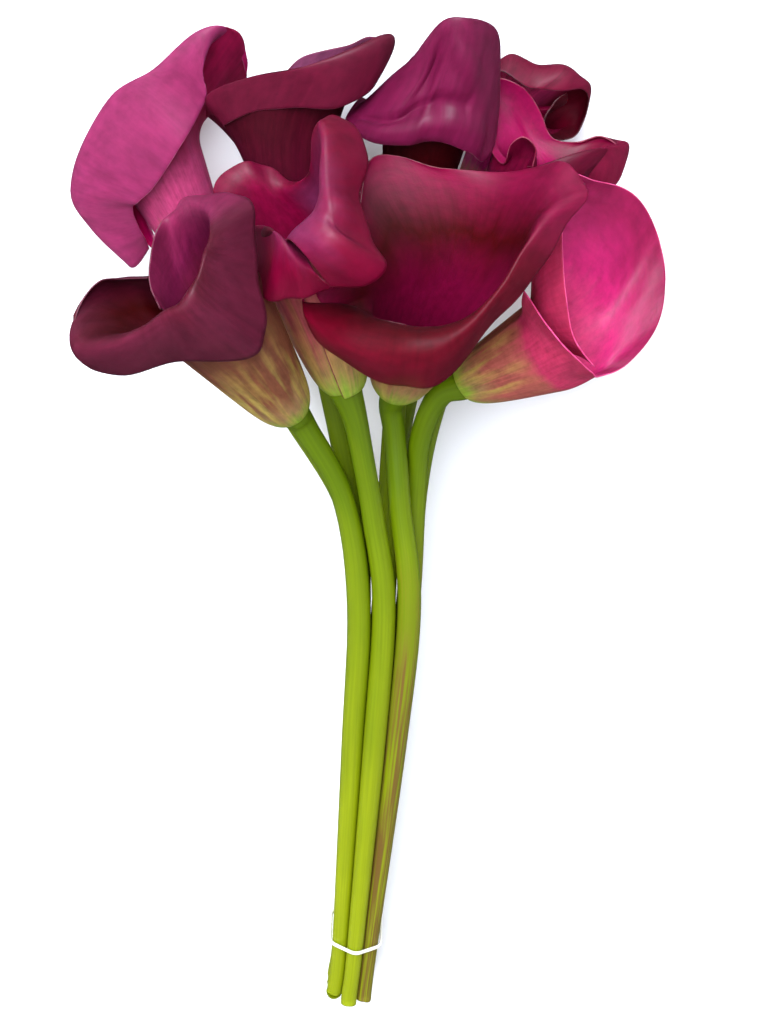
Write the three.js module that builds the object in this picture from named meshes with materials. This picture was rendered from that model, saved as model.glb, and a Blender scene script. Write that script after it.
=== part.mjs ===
// Bunch of nine small calla lilies, lying down and tied with a rubber band near the cut ends.
// Millimetres. X points to the right of the bunch, Y from the cut ends to the blooms, Z up.
// Every bloom is a sheet (the spathe) wrapped round a club (the spadix) on its own stem.

import * as THREE from "three";

// Spathe sheet
const SHEET = 0.9;
const NECK_RADIUS = 6.4;
const NECK_TURN = 42;
const NECK_FADE = 5;
const OVERLAP_GAP = 1.7;
const OVERLAP_SPREAD = 1.5;
const CURL_BAND = 9;
const COLUMN_STEP = 20;
const NEAR_TIP = 0.98;
const STEPS = 6;
const TUBE_ROWS = [0, 0.12, 0.32, 0.65, 1];
const LIP_ROWS = [0.22, 0.44, 0.62, 0.78, 0.9, 1];
const FOLD_RISE = 0.9;
const SHORTEST_RISE = 4;

// Stem, spigot inside the spathe and spadix on the spigot
const SHOULDER = 1.5;
const TOP_RADIUS = 5.9;
const SPIGOT_RADIUS = 5;
const SPIGOT_HEIGHT = 5;
const APPROACH = 12;
const APPROACH_RADIUS = 4.6;
const BEND_RADIUS = 4.2;
const RINGS_PER_STOP = 2;
const HEADING_STEP = 0.01;
const STEM_SIDES = 10;
const STEM_GAP = 0.6;
const SPADIX_GAP = 0.3;
const SPADIX = [[0, 0], [2.4, 0.6], [3, 7], [2.7, 17], [1.5, 25], [0, 28]];

// Bundle of stems: centre x, y, z and the pitch between stems, from the cut ends upwards
const BUNDLE = [
  { x: -15.5, y: -234, z: 10.6, pitch: 7.4 },
  { x: -15, y: -224, z: 10.6, pitch: 7.4 },
  { x: -12.5, y: -200, z: 16, pitch: 7.4 },
  { x: -4, y: -98, z: 36, pitch: 9.4 },
  { x: 0, y: -36, z: 47, pitch: 9.7 },
];
const TIE = 2;
const END_STAGGER = [0, 3, 1.5, 2, 0.5, 3.5, 1, 2.5, 4];

// Rubber band
const BAND_RADIUS = 0.7;
const BAND_GAP = 0.35;
const BAND_SIDES = 8;
const BAND_CORNER_STEPS = 5;

// The bunch is shifted so the middle of its footprint is at the origin
const MIDDLE_X = -7.1;
const MIDDLE_Y = -30;

// Colours
const GREEN = 0x9aa632;
const SPADIX_COLOUR = 0x8a7a3a;
const BAND_COLOUR = 0xe9e6dc;

// Blooms. Each row of "lips" is one line up the spathe, from its inner margin round to its
// outer margin: angle, length of the lip, lean, turn and curl of the last few millimetres.
// Each row of "folds" is such a line for a lip folded over towards the viewer: angle, then
// the crest and the rim as distances along the bloom, to its right and above its base.
const BLOOMS = [
  {
    name: "front",
    colour: 0xa3123f,
    base: [5, 50, 62],
    aim: [20, 106, 112],
    tube: 48,
    flare: 13,
    slant: 0.22,
    slantTo: 50,
    slot: [1, 1],
    bends: [[6, 4, 56], [4, 30, 53]],
    lips: [
      [45, 6, 0, 10, 0],
      [-20, 8, 5, 15, 0],
      [-70, 14, 25, 45, 0],
      [-110, 30, 28, 60, 10],
      [-145, 50, 38, 80, 30],
      [-180, 47, 44, 90, 40],
      [-215, 55, 35, 75, 40],
      [-240, 58, 20, 75, 40],
      [-285, 50, 0, 100, 60],
      [-325, 42, 30, 145, 50],
      [-360, 50, 70, 160, 10],
      [-400, 44, 58, 145, 10],
      [-422, 40, 60, 120, 0],
    ],
  },
  {
    name: "low_left",
    colour: 0x5a1c3c,
    base: [-33, 45, 79],
    aim: [-63, 99, 124],
    tube: 50,
    flare: 9.5,
    slot: [-1, 1],
    bends: [[-15, 7, 61]],
    lips: [
      [-95, 12, -15, 0, 0],
      [-135, 22, 0, 20, 0],
      [-175, 29, 35, 45, 0],
      [-205, 30, 50, 90, 20],
      [-228, 25, 32, 125, 20],
      [-275, 26, 15, 195, 20],
      [-315, 22, 70, 185, 10],
      [-348, 58, 48, 160, 10],
      [-370, 66, 38, 150, 0],
      [-395, 62, 32, 132, 0],
      [-415, 57, 22, 84, -28],
      [-440, 50, 0, 52, -36],
      [-468, 35, -6, 32, -30],
    ],
  },
  {
    name: "middle",
    colour: 0x9c1448,
    base: [-14, 52, 74],
    aim: [-33, 115, 90],
    tube: 50,
    flare: 8.5,
    slot: [0, 1],
    bends: [[-4, 0, 61], [-8, 26, 67]],
    lips: [
      [20, 20, 60, 110, 0],
      [-10, 21, 50, 150, 0],
      [-45, 13, 20, 120, 0],
      [-100, 22, 0, 60, 0],
      [-135, 33, 35, 55, 0],
      [-160, 35, 30, 40, 0],
      [-188, 25, 12, 40, 0],
      [-225, 38, 7, 47, 20],
      [-250, 50, 3, 130, 40],
      [-285, 52, 10, 175, 40],
      [-318, 53, 30, 175, 20],
      [-333, 66, 86, 152, 0],
      [-350, 58, 80, 156, 0],
      [-365, 52, 72, 163, 0],
    ],
  },
  {
    name: "far_left",
    colour: 0xc23a83,
    base: [-66, 93, 34],
    aim: [-82, 128, 34],
    tube: 40,
    flare: 9,
    slot: [-1, 0],
    bends: [[-15, 2, 46], [-37, 38, 38]],
    folds: [
      [250, 44, -12, 0, 50, -13, 0],
      [210, 51, -1, -14, 58, 2, -22],
      [180, 50, 9, -20, 57, 16, -26],
      [150, 48, 19, -18, 52, 29, -20],
      [125, 49, 26, -12, 53, 39, -12],
      [100, 53, 32, -4, 58, 43, 0],
      [82, 60, 37, 6, 68, 43, 10],
      [65, 68, 37, 15, 67, 34, 18],
      [45, 71, 29, 20, 62, 31, 24],
      [20, 67, 13, 24, 52, 27, 21],
      [-10, 66, -2, 24, 41, 12, 27],
      [-40, 56, -19, 20, 32, -4, 25],
      [-75, 45, -30, 12, 30, -13, 20],
      [-110, 34, -30, 4, 23, -16, 12],
      [-140, 21, -24, -2, 13, -17, 4],
    ],
  },
  {
    name: "upper_left",
    colour: 0x8e1440,
    base: [-29, 93, 42],
    aim: [-35, 141, 46],
    tube: 36,
    flare: 9,
    slot: [-1, -1],
    bends: [[-13, 4, 36]],
    folds: [
      [240, 53, -9, -4, 58, -11, -2],
      [200, 56, -4, -12, 65, -3, -12],
      [160, 58, 5, -14, 73, 9, -10],
      [125, 59, 18, -12, 75, 26, -4],
      [90, 63, 27, -4, 76, 37, 4],
      [65, 68, 31, 6, 69, 39, 10],
      [40, 73, 33, 18, 60, 33, 20],
      [12, 70, 22, 28, 54, 21, 28],
      [-15, 66, 8, 31, 56, 5, 28],
      [-45, 65, -8, 26, 56, -10, 23],
      [-75, 62, -23, 15, 53, -21, 13],
      [-105, 55, -26, 2, 52, -19, 2],
    ],
  },
  {
    name: "top",
    colour: 0x7d2052,
    base: [10, 107, 42],
    aim: [16, 145, 50],
    tube: 44,
    flare: 9,
    slot: [0, 0],
    bends: [[2, 7, 45]],
    folds: [
      [240, 43, -11, -6, 51, -13, -4],
      [200, 46, -2, -12, 59, -3, -12],
      [160, 48, 7, -14, 64, 6, -12],
      [125, 47, 14, -10, 62, 16, -6],
      [90, 48, 19, 2, 57, 21, 6],
      [62, 61, 21, 18, 30, 22, 20],
      [34, 70, 14, 32, 31, 14, 30],
      [6, 72, 4, 37, 31, 3, 32],
      [-22, 67, -4, 37, 30, -9, 32],
      [-50, 55, -11, 30, 29, -20, 28],
      [-84, 48, -18, 12, 33, -29, 16],
      [-120, 42, -16, -4, 42, -25, 2],
    ],
  },
  {
    name: "right",
    colour: 0xc73877,
    base: [30, 53, 68],
    aim: [65, 73, 84],
    tube: 36,
    flare: 12,
    slant: 0.1,
    slantTo: 180,
    slot: [1, 0],
    bends: [[12, 7, 46], [14, 30, 53]],
    folds: [
      [5, 34, 3, 24, 42, 12, 27],
      [-25, 33, -5, 28, 40, -1, 33],
      [-55, 34, -15, 28, 44, -15, 36],
      [-85, 38, -25, 22, 53, -33, 28],
      [-110, 47, -32, 14, 64, -47, 20],
      [-135, 58, -25, 3, 73, -41, 4],
      [-160, 64, -13, -5, 84, -27, -7],
      [-185, 63, -1, -7, 85, -10, -13],
      [-210, 59, 8, 0, 79, 5, -6],
      [-235, 52, 15, 6, 68, 16, 2],
      [-260, 45, 18, 10, 53, 21, 8],
      [-290, 37, 17, 16, 42, 18, 18],
      [-320, 31, 11, 24, 40, 13, 28],
      [-350, 30, 3, 30, 37, 3, 36],
      [-385, 30, -9, 30, 34, -11, 38],
      [-415, 30, -18, 28, 33, -24, 36],
    ],
  },
  {
    name: "upper_right",
    colour: 0x931a3e,
    base: [34, 109, 20],
    aim: [51, 142, 22],
    tube: 36,
    flare: 7.5,
    slot: [0, -1],
    bends: [[3, 7, 33], [14, 60, 24]],
    folds: [
      [300, 50, -17, 8, 50, -19, 14],
      [270, 56, -15, 4, 51, -14, 16],
      [240, 57, -7, 2, 50, -6, 16],
      [210, 61, 1, 0, 52, 0, 15],
      [188, 60, 7, -2, 55, 7, 13],
      [165, 58, 12, -5, 59, 14, 8],
      [140, 53, 15, -8, 56, 19, 0],
      [110, 46, 17, -6, 45, 21, -2],
      [80, 41, 13, 0, 40, 17, 2],
      [50, 40, 9, 4, 38, 11, 8],
      [20, 41, 5, 6, 40, 8, 11],
      [-10, 41, 2, 6, 43, 6, 13],
      [-40, 43, 1, 6, 48, 6, 13],
      [-70, 44, 0, 5, 52, 7, 12],
      [-95, 45, 0, 3, 55, 9, 9],
    ],
  },
  {
    name: "inner_right",
    colour: 0xc02c6e,
    base: [40, 95, 44],
    aim: [54, 129, 59],
    tube: 34,
    flare: 11,
    slot: [1, -1],
    bends: [[13, 7, 37], [20, 40, 37]],
    folds: [
      [20, 32, -1, 26, 36, -3, 34],
      [0, 37, -2, 30, 42, -5, 37],
      [-25, 37, -7, 30, 44, -10, 37],
      [-45, 35, -10, 28, 40, -13, 35],
      [-65, 34, -11, 22, 34, -12, 28],
      [-85, 37, -14, 14, 43, -17, 15],
      [-110, 43, -16, 4, 52, -20, 2],
      [-135, 46, -15, -1, 58, -21, -2],
      [-160, 46, -11, -3, 58, -16, -3],
      [-185, 44, -5, -4, 53, -7, -4],
      [-215, 41, 3, -2, 47, 2, -3],
      [-245, 42, 12, 2, 50, 12, -1],
      [-270, 46, 18, 4, 55, 19, 1],
      [-295, 50, 23, 10, 53, 27, 6],
      [-320, 50, 21, 17, 47, 30, 9],
      [-345, 48, 15, 23, 40, 28, 13],
      [-372, 44, 8, 26, 37, 19, 20],
      [-395, 39, 3, 28, 34, 10, 26],
    ],
  },
];

const radians = THREE.MathUtils.degToRad;
const clamp = THREE.MathUtils.clamp;

/** Value on a smooth curve through evenly spaced values, at u from 0 to 1. */
function smooth(values, u) {
  const last = values.length - 1;
  const at = (k) => {
    if (k < 0) return 2 * values[0] - values[1];
    if (k > last) return 2 * values[last] - values[last - 1];
    return values[k];
  };
  const x = clamp(u, 0, 1) * last;
  const i = Math.min(Math.floor(x), last - 1);
  const t = x - i;
  const [a, b, c, d] = [at(i - 1), at(i), at(i + 1), at(i + 2)];
  const bend = (2 * a - 5 * b + 4 * c - d) * t * t;
  const twist = (3 * b - a - 3 * c + d) * t * t * t;
  return 0.5 * (2 * b + (c - a) * t + bend + twist);
}

/** Row of numbers on the smooth curves through the columns of a table. */
function smoothRow(table, u) {
  return table[0].map((_, j) => smooth(table.map((row) => row[j]), u));
}

/** Axes of a bloom: base point, direction, the side facing up and the side to the right. */
function axesOf(bloom) {
  const base = new THREE.Vector3(...bloom.base);
  const along = new THREE.Vector3(...bloom.aim).sub(base).normalize();
  const front = new THREE.Vector3(0, 0, 1).addScaledVector(along, -along.z).normalize();
  const right = new THREE.Vector3().crossVectors(along, front);
  return { base, along, front, right };
}

/** Point of a bloom from its radius, height and angle round the axis. */
function pointAt(axes, radius, height, angle) {
  return axes.base
    .clone()
    .addScaledVector(axes.along, height)
    .addScaledVector(axes.front, radius * Math.cos(angle))
    .addScaledVector(axes.right, radius * Math.sin(angle));
}

/** Direction of the sheet, in degrees from the axis, at a place on one line up the spathe. */
function slopeAt(bloom, tube, lip, place) {
  const length = place < 1 ? place * tube : tube + (place - 1) * lip.length;
  const neck = (NECK_TURN - bloom.flare) * Math.exp(-length / NECK_FADE);
  if (place < 1) return bloom.flare + neck;
  const q = place - 1;
  const start = bloom.flare * (1 - q) * (1 - 2 * q);
  const body = 4 * lip.lean * q * (1 - q) + lip.turn * q * (2 * q - 1);
  const curl = clamp(1 - ((1 - q) * lip.length) / CURL_BAND, 0, 1);
  return start + body + lip.curl * curl * curl + neck;
}

/** One line up the spathe: points at the wanted places (0 to 1 tube, 1 to 2 lip). */
function lineUp(bloom, axes, lip, turns, places) {
  const slant = (bloom.slant ?? 0) * Math.cos(radians(lip.angle - (bloom.slantTo ?? 0)));
  const tube = bloom.tube * (1 + slant);
  let radius = NECK_RADIUS;
  let height = 0;
  let from = 0;
  return places.map((place) => {
    for (let k = 0; k < STEPS; k += 1) {
      const middle = from + ((k + 0.5) / STEPS) * (place - from);
      const length = ((place - from) / STEPS) * (middle < 1 ? tube : lip.length);
      const slope = radians(slopeAt(bloom, tube, lip, middle));
      radius += length * Math.sin(slope);
      height += length * Math.cos(slope);
    }
    from = place;
    const out = (OVERLAP_GAP + (OVERLAP_SPREAD * place) / 2) * (turns - 0.5);
    const slope = radians(slopeAt(bloom, tube, lip, place));
    return pointAt(
      axes,
      radius + out * Math.cos(slope),
      height - out * Math.sin(slope),
      radians(lip.angle),
    );
  });
}

/** One line up a spathe whose lip is folded over: the lip is a curve over its crest. */
function foldedLineUp(bloom, axes, row, turns) {
  const [angle, crestAlong, crestSide, crestUp, rimAlong, rimSide, rimUp] = row;
  const straight = { angle, length: 1, lean: 0, turn: 0, curl: 0 };
  const points = lineUp(bloom, axes, straight, turns, [...TUBE_ROWS.slice(0, -1), NEAR_TIP, 1]);
  const tip = points.pop();
  const before = points.pop();
  const heading = new THREE.Vector3().subVectors(tip, before).normalize();
  const ahead = new THREE.Vector3(axes.along.x, axes.along.y, 0).normalize();
  const aside = new THREE.Vector3(ahead.y, -ahead.x, 0);
  const place = (along, side, up) => axes.base
    .clone()
    .addScaledVector(ahead, along)
    .addScaledVector(aside, side)
    .add(new THREE.Vector3(0, 0, up));
  const crest = place(crestAlong, crestSide, crestUp);
  const rim = place(rimAlong, rimSide, rimUp);
  const rise = Math.max(SHORTEST_RISE, FOLD_RISE * crest.clone().sub(tip).dot(heading));
  const first = tip.clone().addScaledVector(heading, rise);
  // The second handle takes the curve through the crest halfway along it
  const second = crest
    .clone()
    .multiplyScalar(8)
    .sub(tip)
    .sub(rim)
    .addScaledVector(first, -3)
    .divideScalar(3);
  const curve = new THREE.CubicBezierCurve3(tip, first, second, rim);
  return [...points, tip, ...LIP_ROWS.map((q) => curve.getPoint(q))];
}

/** Grid of points of a spathe, column by column from the inner to the outer margin. */
function spatheGrid(bloom) {
  const axes = axesOf(bloom);
  const table = bloom.folds ?? bloom.lips;
  const sweep = Math.abs(table[table.length - 1][0] - table[0][0]);
  const columns = Math.ceil(sweep / COLUMN_STEP);
  const grid = [];
  for (let i = 0; i <= columns; i += 1) {
    const row = smoothRow(table, i / columns);
    const turns = Math.abs(row[0] - table[0][0]) / 360;
    if (bloom.folds) {
      grid.push(foldedLineUp(bloom, axes, row, turns));
      continue;
    }
    const [angle, length, lean, turn, curl] = row;
    const places = [...TUBE_ROWS, ...LIP_ROWS.map((q) => 1 + q)];
    grid.push(lineUp(bloom, axes, { angle, length, lean, turn, curl }, turns, places));
  }
  return grid;
}

/** Closed sheet of even thickness round a grid of points. */
function sheetGeometry(grid, thickness) {
  const columns = grid.length;
  const rows = grid[0].length;
  const normalAt = (i, j) => {
    const across = grid[Math.min(i + 1, columns - 1)][j].clone().sub(grid[Math.max(i - 1, 0)][j]);
    const upward = grid[i][Math.min(j + 1, rows - 1)].clone().sub(grid[i][Math.max(j - 1, 0)]);
    return across.cross(upward).normalize();
  };
  const inside = [];
  const outside = [];
  for (let i = 0; i < columns; i += 1) {
    for (let j = 0; j < rows; j += 1) {
      const normal = normalAt(i, j);
      inside.push(grid[i][j].clone().addScaledVector(normal, thickness / 2));
      outside.push(grid[i][j].clone().addScaledVector(normal, -thickness / 2));
    }
  }
  const index = [];
  const count = inside.length;
  const id = (i, j) => i * rows + j;
  const quad = (a, b, c, d) => index.push(a, b, c, a, c, d);
  for (let i = 0; i + 1 < columns; i += 1) {
    for (let j = 0; j + 1 < rows; j += 1) {
      const [a, b, c, d] = [id(i, j), id(i + 1, j), id(i + 1, j + 1), id(i, j + 1)];
      quad(a, b, c, d);
      index.push(a + count, c + count, b + count, a + count, d + count, c + count);
    }
  }
  const wall = (a, b) => quad(b, a, a + count, b + count);
  for (let i = 0; i + 1 < columns; i += 1) {
    wall(id(i, 0), id(i + 1, 0));
    wall(id(i + 1, rows - 1), id(i, rows - 1));
  }
  for (let j = 0; j + 1 < rows; j += 1) {
    wall(id(0, j + 1), id(0, j));
    wall(id(columns - 1, j), id(columns - 1, j + 1));
  }
  return geometryFrom([...inside, ...outside], index);
}

/** Geometry from points and triangle corners. */
function geometryFrom(points, index) {
  const geometry = new THREE.BufferGeometry();
  geometry.setFromPoints(points);
  geometry.setIndex(index);
  return geometry;
}

/** Closed body through rings of equal point count; flat ends unless it joins up with itself. */
function ringsGeometry(rings, joined) {
  const sides = rings[0].length;
  const points = rings.flat();
  const index = [];
  const spans = joined ? rings.length : rings.length - 1;
  for (let i = 0; i < spans; i += 1) {
    const here = i * sides;
    const next = ((i + 1) % rings.length) * sides;
    for (let k = 0; k < sides; k += 1) {
      const other = (k + 1) % sides;
      index.push(here + k, here + other, next + other, here + k, next + other, next + k);
    }
  }
  if (!joined) {
    const top = (rings.length - 1) * sides;
    for (let k = 1; k + 1 < sides; k += 1) {
      index.push(0, k + 1, k, top, top + k, top + k + 1);
    }
  }
  return geometryFrom(points, index);
}

/** Ring of points round a centre, in the plane of two directions. */
function ringAt(centre, first, second, radius, sides) {
  return Array.from({ length: sides }, (_, k) => {
    const angle = (k / sides) * 2 * Math.PI;
    return centre
      .clone()
      .addScaledVector(first, radius * Math.cos(angle))
      .addScaledVector(second, radius * Math.sin(angle));
  });
}

/** Stem from its cut end through the bundle to the base of its bloom. */
function stemGeometry(bloom, number) {
  const axes = axesOf(bloom);
  const [column, row] = bloom.slot;
  const stops = BUNDLE.map(({ x, y, z, pitch }) => ({
    point: new THREE.Vector3(x + column * pitch, y, z + row * pitch),
    radius: (pitch - STEM_GAP) / 2,
  }));
  stops[0].point.y -= END_STAGGER[number];
  for (const bend of bloom.bends) {
    stops.push({ point: new THREE.Vector3(...bend), radius: BEND_RADIUS });
  }
  const onAxis = (height) => axes.base.clone().addScaledVector(axes.along, height);
  stops.push({ point: onAxis(-APPROACH), radius: APPROACH_RADIUS });
  stops.push({ point: onAxis(-SHOULDER), radius: TOP_RADIUS });

  const columns = ["x", "y", "z"].map((name) => stops.map((stop) => stop.point[name]));
  const centreAt = (u) => new THREE.Vector3(...columns.map((values) => smooth(values, u)));
  const count = RINGS_PER_STOP * (stops.length - 1);
  const rings = [];
  let first = new THREE.Vector3(1, 0, 0);
  for (let i = 0; i <= count; i += 1) {
    const u = i / count;
    const centre = centreAt(u);
    const heading = centreAt(u + HEADING_STEP).sub(centreAt(u - HEADING_STEP)).normalize();
    if (i === 0) heading.set(0, 1, 0);
    if (i === count) heading.copy(axes.along);
    first = first.clone().addScaledVector(heading, -first.dot(heading)).normalize();
    const second = new THREE.Vector3().crossVectors(heading, first);
    const radius = smooth(stops.map((stop) => stop.radius), u);
    rings.push(ringAt(centre, first, second, radius, STEM_SIDES));
    if (i === count) {
      rings.push(ringAt(centre, first, second, SPIGOT_RADIUS, STEM_SIDES));
      rings.push(ringAt(onAxis(SPIGOT_HEIGHT), first, second, SPIGOT_RADIUS, STEM_SIDES));
    }
  }
  return ringsGeometry(rings, false);
}

/** Spadix standing on the spigot, along the axis of its bloom. */
function spadixGeometry(bloom) {
  const axes = axesOf(bloom);
  const profile = SPADIX.map(([radius, height]) => new THREE.Vector2(radius, height));
  const geometry = new THREE.LatheGeometry(profile, STEM_SIDES);
  const turn = new THREE.Matrix4().makeBasis(axes.right, axes.along, axes.front);
  const foot = axes.base.clone().addScaledVector(axes.along, SPIGOT_HEIGHT + SPADIX_GAP);
  return geometry.applyMatrix4(turn.setPosition(foot));
}

/** Rubber band round the bundle: a round cord on a path with rounded corners. */
function bandGeometry() {
  const { x, y, z, pitch } = BUNDLE[TIE];
  const before = BUNDLE[TIE - 1];
  const after = BUNDLE[TIE + 1];
  const axis = new THREE.Vector3(after.x - before.x, after.y - before.y, after.z - before.z);
  axis.normalize();
  const right = new THREE.Vector3(1, 0, 0).addScaledVector(axis, -axis.x).normalize();
  const above = new THREE.Vector3().crossVectors(right, axis);
  const cornerRadius = (pitch - STEM_GAP) / 2 + BAND_GAP + BAND_RADIUS;
  const rings = [];
  for (let corner = 0; corner < 4; corner += 1) {
    const [cx, cz] = [[1, 1], [-1, 1], [-1, -1], [1, -1]][corner];
    for (let k = 0; k <= BAND_CORNER_STEPS; k += 1) {
      const angle = ((corner + k / BAND_CORNER_STEPS) * Math.PI) / 2;
      const outward = right.clone().multiplyScalar(Math.cos(angle));
      outward.addScaledVector(above, Math.sin(angle));
      const centre = new THREE.Vector3(x, y, z)
        .addScaledVector(right, cx * pitch)
        .addScaledVector(above, cz * pitch)
        .addScaledVector(outward, cornerRadius);
      rings.push(ringAt(centre, outward, axis, BAND_RADIUS, BAND_SIDES));
    }
  }
  return ringsGeometry(rings, true);
}

/** Named mesh, moved so the bunch is centred, its lowest spots pressed flat by the floor. */
function piece(name, geometry, colour) {
  geometry.translate(-MIDDLE_X, -MIDDLE_Y, 0);
  const { position } = geometry.attributes;
  for (let i = 0; i < position.count; i += 1) {
    position.setZ(i, Math.max(position.getZ(i), 0));
  }
  const mesh = new THREE.Mesh(geometry, new THREE.MeshStandardMaterial({ color: colour }));
  mesh.name = name;
  return mesh;
}

const bunch = new THREE.Group();
bunch.name = "calla_lily_bunch";
BLOOMS.forEach((bloom, number) => {
  bunch.add(piece(`stem_${bloom.name}`, stemGeometry(bloom, number), GREEN));
  bunch.add(piece(`spadix_${bloom.name}`, spadixGeometry(bloom), SPADIX_COLOUR));
  bunch.add(piece(`spathe_${bloom.name}`, sheetGeometry(spatheGrid(bloom), SHEET), bloom.colour));
});
bunch.add(piece("rubber_band", bandGeometry(), BAND_COLOUR));

export default bunch;
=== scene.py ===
"""Tied bunch of calla lilies lying on a pale surface, seen from above."""

import math

import bpy
import numpy as np
from bpy.props import FloatProperty, FloatVectorProperty, PointerProperty
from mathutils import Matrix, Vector


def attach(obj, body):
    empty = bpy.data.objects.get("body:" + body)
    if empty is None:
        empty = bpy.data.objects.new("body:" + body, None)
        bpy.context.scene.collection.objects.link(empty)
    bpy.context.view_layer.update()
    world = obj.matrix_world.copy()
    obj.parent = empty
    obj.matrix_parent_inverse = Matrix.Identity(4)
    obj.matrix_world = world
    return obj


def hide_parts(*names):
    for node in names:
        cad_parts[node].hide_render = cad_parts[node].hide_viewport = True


bl_info = {
    "name": "Calla lily bunch",
    "version": (1, 0, 0),
    "blender": (4, 5, 0),
    "location": "View3D > Sidebar > Calla lilies",
    "description": "Builds a tied bunch of calla lilies with its camera, light and floor",
    "category": "Object",
}

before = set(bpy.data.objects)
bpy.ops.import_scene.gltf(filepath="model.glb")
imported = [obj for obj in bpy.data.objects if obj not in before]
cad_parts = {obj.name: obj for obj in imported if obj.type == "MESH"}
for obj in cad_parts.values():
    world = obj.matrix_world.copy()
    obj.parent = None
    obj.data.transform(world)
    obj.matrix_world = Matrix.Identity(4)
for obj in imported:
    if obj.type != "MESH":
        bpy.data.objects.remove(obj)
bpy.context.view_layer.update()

MM = 0.001

# Spathe sheet, in millimetres and degrees, the same as in the part's source
SHEET = 0.9
NECK_RADIUS = 6.4
NECK_TURN = 42.0
NECK_FADE = 5.0
OVERLAP_GAP = 1.7
OVERLAP_SPREAD = 1.5
TUBE_STEPS = 80
# The lip leaves the tube along its last stretch, from NEAR_TIP on, for a share of the way to
# its crest and at least the shortest rise
NEAR_TIP = 0.98
FOLD_RISE = 0.9
SHORTEST_RISE = 4.0
# Rows of the tube lie closer near its neck; the rim is rounded by this share of its thickness
NECK_CROWDING = 1.3
RIM_ROUNDING = 0.4

# Stem, spigot and spadix
SHOULDER = 1.5
TOP_RADIUS = 5.9
SPIGOT_RADIUS = 5.0
SPIGOT_HEIGHT = 5.0
APPROACH = 12.0
APPROACH_RADIUS = 4.6
BEND_RADIUS = 4.2
STEM_GAP = 0.6
# Height over the bloom's base and radius of the last rings of a stem
STEM_TOP = [(-0.6, 6.3), (0.3, 6.1), (1.2, SPIGOT_RADIUS)]
SPADIX_GAP = 0.3
SPADIX = [(0, 0), (2.4, 0.6), (3, 7), (2.7, 17), (1.5, 25), (0, 28)]
SPADIX_TIP_RADIUS = 0.05
# Florets stand proud in rows that wind round the club
FLORET_ROW = 1.2
FLORETS_ROUND = 16
FLORET_WIND = 0.5
FLORET_DEPTH = 0.08

# Bundle of stems: centre x, y, z and the pitch between stems, from the cut ends upwards
BUNDLE = [
    (-15.5, -234, 10.6, 7.4),
    (-15, -224, 10.6, 7.4),
    (-12.5, -200, 16, 7.4),
    (-4, -98, 36, 9.4),
    (0, -36, 47, 9.7),
]
TIE = 2
# The band's height over the tie, and how far each stem is cut back from the lowest cut
BAND_LIFT = 4.0
CUT_BACK = [4, 8, 4, 7, 8, 6, 9, 7.5, 8.5]
CUT_SLANTS = [0.35, -0.1, 0.12, 0.2, -0.2, 0.1, 0.3, -0.15, 0.25]
CUT_DIP = -0.15
CUT_CENTRE = 0.5
# Step along a stem's curve by which its heading is measured
HEADING_STEP = 0.01
# Where they are tied, the stems of the middle column sit in the grooves between the outer ones
NESTED = [1, 1, 1, 0.6, 0]
NEST_RISE = 0.5
NEST_WIDTH = 0.87
BAND_RADIUS = 0.7
BAND_GAP = 0.35
# Moulded bands are flatter than they are wide
BAND_WIDTH = 1.25
BAND_DEPTH = 0.8

# Middle of the bunch's footprint, which is the origin of the frame
MIDDLE = np.array([-7.1, -30.0, 0.0])

# Viewpoint of the photograph, in the frame: place, downward tilt and focal length
IMAGE_HEIGHT_PX = 1024
FOCAL_PX = 1576
SENSOR_MM = 36.0
CAMERA_MM = np.array([0.0, 155.0, 630.0])
CAMERA_TILT = 15.0

# Floor and lights, in metres
FLOOR_REACH = 3.0
FLOOR_DROP = 0.0002
LIGHTS_AIM = (0, 0.08, 0.05)
WINDOW_PLACE, WINDOW_SIZE = (-0.15, 0.45, 0.9), 0.9
FILL_PLACE, FILL_SIZE = (-0.5, -0.7, 0.8), 0.5
SHEEN_PLACE, SHEEN_SIZE = (0.1, 0.9, 0.55), 0.5

# Mesh density
COLUMNS = 150
TUBE_SPANS = 26
LIP_SPANS = 84
STEM_SIDES = 28
STEM_RINGS = 110
SPADIX_SIDES = 48
SPADIX_RINGS = 70
BAND_SIDES = 12
BAND_CORNER_STEPS = 12

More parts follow.
